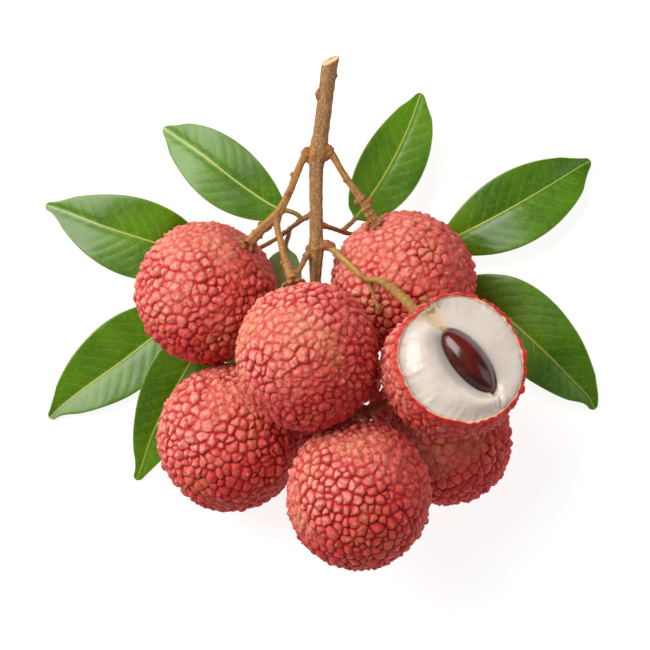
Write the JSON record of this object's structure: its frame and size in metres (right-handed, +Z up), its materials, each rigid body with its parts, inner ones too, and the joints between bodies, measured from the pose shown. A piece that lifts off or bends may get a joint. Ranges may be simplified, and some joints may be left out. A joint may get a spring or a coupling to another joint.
{
  "type": "bunch of lychees",
  "caption": "Bunch of ripe red lychees on a woody stem with glossy green leaves, lying down, with one fruit cut open to show white flesh and a brown seed.",
  "frame": {"origin": "on the surface that the bunch lies on, under the middle of its outline", "axes": "+X across the bunch to the side of the cut fruit, +Y along the stem towards its cut end, +Z up from the surface"},
  "size_m": [0.1439, 0.1305, 0.0642],
  "materials": {
    "fruit_skin": "rough knobbly red rind, semi-matte",
    "flesh": "wet translucent white flesh, glossy",
    "seed": "smooth polished dark brown seed coat",
    "bark": "fine-grained brown bark, matte",
    "green_bark": "young olive-yellow bark, satin",
    "leaf": "waxy green leaf with pale veins, glossy"
  },
  "bodies": {
    "root": {"main_stem": "bark", "stalk_upper_left": "bark", "stalk_centre": "bark", "spur_centre": "bark", "stalk_upper_right": "bark", "stalk_lower_left": "bark", "stalk_lower_centre": "bark", "stalk_lower_right": "bark", "stalk_inner_middle": "bark", "stalk_inner_right": "bark", "stalk_inner_left": "bark", "leaf_twig_left": "bark", "leaf_twig_right": "bark", "stalk_cut_fruit": "green_bark", "side_twig": "green_bark", "fruit_upper_left": "fruit_skin", "fruit_centre": "fruit_skin", "fruit_upper_right": "fruit_skin", "fruit_lower_left": "fruit_skin", "fruit_lower_centre": "fruit_skin", "fruit_lower_right": "fruit_skin", "fruit_inner_middle": "fruit_skin", "fruit_inner_right": "fruit_skin", "fruit_inner_left": "fruit_skin", "cut_fruit_rind": "fruit_skin", "cut_fruit_flesh": "flesh", "cut_fruit_seed": "seed", "leaf_upper_left": "leaf", "leaf_left_high": "leaf", "leaf_left_low": "leaf", "leaf_lower_left": "leaf", "leaf_centre": "leaf", "leaf_upper_right": "leaf", "leaf_right_high": "leaf", "leaf_right_low": "leaf"}
  },
  "joints": []
}
